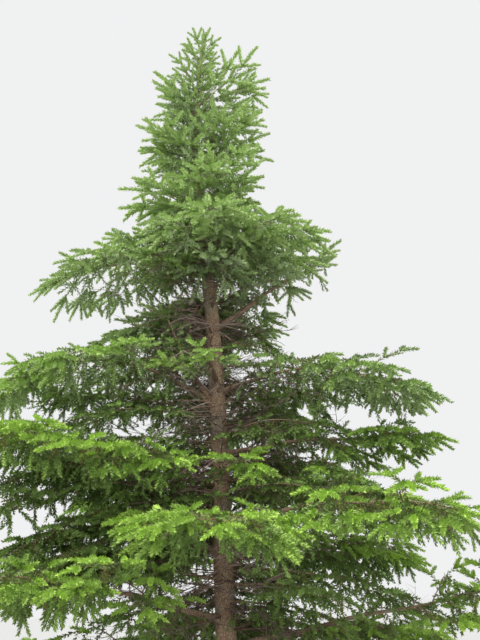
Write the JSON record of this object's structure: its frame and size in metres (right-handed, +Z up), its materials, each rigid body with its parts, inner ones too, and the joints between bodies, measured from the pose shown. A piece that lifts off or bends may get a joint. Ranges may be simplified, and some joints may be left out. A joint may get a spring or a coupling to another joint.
{
  "type": "spruce tree",
  "caption": "Whole young spruce with a slender straight trunk, tiers of drooping boughs and layered masses of needle sprays, cut flat at ground level.",
  "frame": {"origin": "centre of the flat cut under the trunk, at ground level", "axes": "+Z up along the trunk; the picture looks along +Y, so -Y faces the viewer and +X is to the right"},
  "size_m": [4.5056, 4.309, 7.4],
  "materials": {
    "trunk_bark": "rough scaly bark, grey-brown with a reddish tint",
    "bough_bark": "rough thin bark, brown, with grey dead twigs",
    "needle_sprays": "matt needles, bright yellow-green on the new shoots and dark green inside"
  },
  "bodies": {
    "root": {"bough_breast_back": "bough_bark", "bough_breast_front": "bough_bark", "bough_breast_front_right": "bough_bark", "bough_breast_left": "bough_bark", "bough_lower_back": "bough_bark", "bough_lower_back_right": "bough_bark", "bough_lower_front": "bough_bark", "bough_lower_front_right": "bough_bark", "bough_lower_left": "bough_bark", "bough_middle_back_left": "bough_bark", "bough_middle_back_right": "bough_bark", "bough_middle_front": "bough_bark", "bough_middle_front_left": "bough_bark", "bough_middle_right": "bough_bark", "bough_skirt_back": "bough_bark", "bough_skirt_back_left": "bough_bark", "bough_skirt_back_right": "bough_bark", "bough_skirt_front_left": "bough_bark", "bough_skirt_right": "bough_bark", "bough_upper_left": "bough_bark", "bough_upper_right": "bough_bark", "foliage_breast_back": "needle_sprays", "foliage_breast_front": "needle_sprays", "foliage_breast_front_right": "needle_sprays", "foliage_breast_left": "needle_sprays", "foliage_head_back": "needle_sprays", "foliage_head_left": "needle_sprays", "foliage_head_right": "needle_sprays", "foliage_high_back_left": "needle_sprays", "foliage_high_back_right": "needle_sprays", "foliage_high_front": "needle_sprays", "foliage_high_right": "needle_sprays", "foliage_leader": "needle_sprays", "foliage_lower_back": "needle_sprays", "foliage_lower_back_right": "needle_sprays", "foliage_lower_front": "needle_sprays", "foliage_lower_front_right": "needle_sprays", "foliage_lower_left": "needle_sprays", "foliage_middle_back_left": "needle_sprays", "foliage_middle_back_right": "needle_sprays", "foliage_middle_front": "needle_sprays", "foliage_middle_front_left": "needle_sprays", "foliage_middle_right": "needle_sprays", "foliage_neck_back": "needle_sprays", "foliage_neck_front_right": "needle_sprays", "foliage_neck_left": "needle_sprays", "foliage_skirt_back": "needle_sprays", "foliage_skirt_back_left": "needle_sprays", "foliage_skirt_back_right": "needle_sprays", "foliage_skirt_front_left": "needle_sprays", "foliage_skirt_right": "needle_sprays", "foliage_top_back": "needle_sprays", "foliage_top_left": "needle_sprays", "foliage_top_right": "needle_sprays", "foliage_upper_back": "needle_sprays", "foliage_upper_back_left": "needle_sprays", "foliage_upper_left": "needle_sprays", "foliage_upper_right": "needle_sprays", "trunk": "trunk_bark"}
  },
  "joints": []
}
